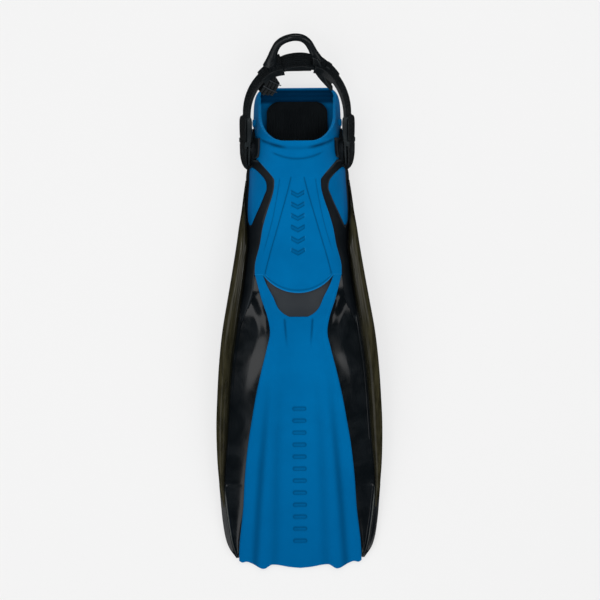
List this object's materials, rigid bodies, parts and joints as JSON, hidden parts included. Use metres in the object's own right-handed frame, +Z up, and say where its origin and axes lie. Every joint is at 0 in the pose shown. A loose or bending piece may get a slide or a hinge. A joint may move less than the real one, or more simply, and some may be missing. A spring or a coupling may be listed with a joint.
{
  "type": "open-heel swim fin",
  "caption": "Open-heel swim fin with a three-section flexing blade, side rails, foot pocket and an adjustable heel strap on swivelling side buckles.",
  "frame": {"origin": "on the floor, under the middle of the fin's overall length and width", "axes": "+Y towards the heel strap (the blade tip is at -Y), +Z up through the instep, X across the blade"},
  "size_m": [0.2158, 0.696, 0.0986],
  "materials": {
    "blue_elastomer": "satin moulded elastomer",
    "black_polymer": "fine matte moulded texture",
    "smoke_web": "high gloss",
    "olive_rail": "satin gloss, slightly translucent",
    "grey_vent": "matte",
    "black_rubber": "satin moulded rubber",
    "footbed_foam": "matte ribbed",
    "buckle_polymer": "satin moulded texture",
    "steel": "bright, lightly brushed"
  },
  "bodies": {
    "fin": {"chassis": "black_polymer", "foot_pocket": "blue_elastomer", "footbed": "footbed_foam", "heel_tread": "black_rubber", "ball_tread": "black_rubber", "vent_panel": "grey_vent", "blade_channel": "blue_elastomer", "left_gusset": "blue_elastomer", "left_web": "smoke_web", "left_rail": "olive_rail", "left_post": "steel", "left_post_clip": "steel", "right_gusset": "blue_elastomer", "right_web": "smoke_web", "right_rail": "olive_rail", "right_post": "steel", "right_post_clip": "steel"},
    "left_buckle": {"left_buckle_frame": "buckle_polymer", "left_buckle_cover": "buckle_polymer", "left_lever_pin": "steel", "left_lever_spring": "steel"},
    "left_lever": {"left_release_lever": "buckle_polymer"},
    "right_buckle": {"right_buckle_frame": "buckle_polymer", "right_buckle_cover": "buckle_polymer", "right_lever_pin": "steel", "right_lever_spring": "steel"},
    "right_lever": {"right_release_lever": "buckle_polymer"},
    "strap": {"heel_strap": "black_rubber", "heel_pad": "black_rubber", "pull_loop": "black_rubber"}
  },
  "joints": [
    {"name": "left_buckle_swing", "type": "hinge", "parent": "fin", "child": "left_buckle", "pos_m": [-0.0632, 0.198, 0.0515], "axis": [1, 0, 0], "range_deg": [-6, 70]},
    {"name": "right_buckle_swing", "type": "hinge", "parent": "fin", "child": "right_buckle", "pos_m": [0.0632, 0.198, 0.0515], "axis": [1, 0, 0], "range_deg": [-6, 70]},
    {"name": "left_lever_release", "type": "hinge", "parent": "left_buckle", "child": "left_lever", "pos_m": [-0.07006, 0.20634, 0.05449], "axis": [-0.2588, 0.2173, -0.9412], "range_deg": [0, 20], "stiffness_Nm_per_rad": 0.05},
    {"name": "right_lever_release", "type": "hinge", "parent": "right_buckle", "child": "right_lever", "pos_m": [0.07006, 0.20634, 0.05449], "axis": [-0.2588, -0.2173, 0.9412], "range_deg": [0, 20], "stiffness_Nm_per_rad": 0.05},
    {"name": "strap_adjust", "type": "slide", "parent": "left_buckle", "child": "strap", "axis": [0, 0.9744, 0.225], "range_m": [0, 0.02]}
  ],
  "couplings": [
    {"joint": "right_buckle_swing", "follows": "left_buckle_swing", "ratio": 1}
  ]
}
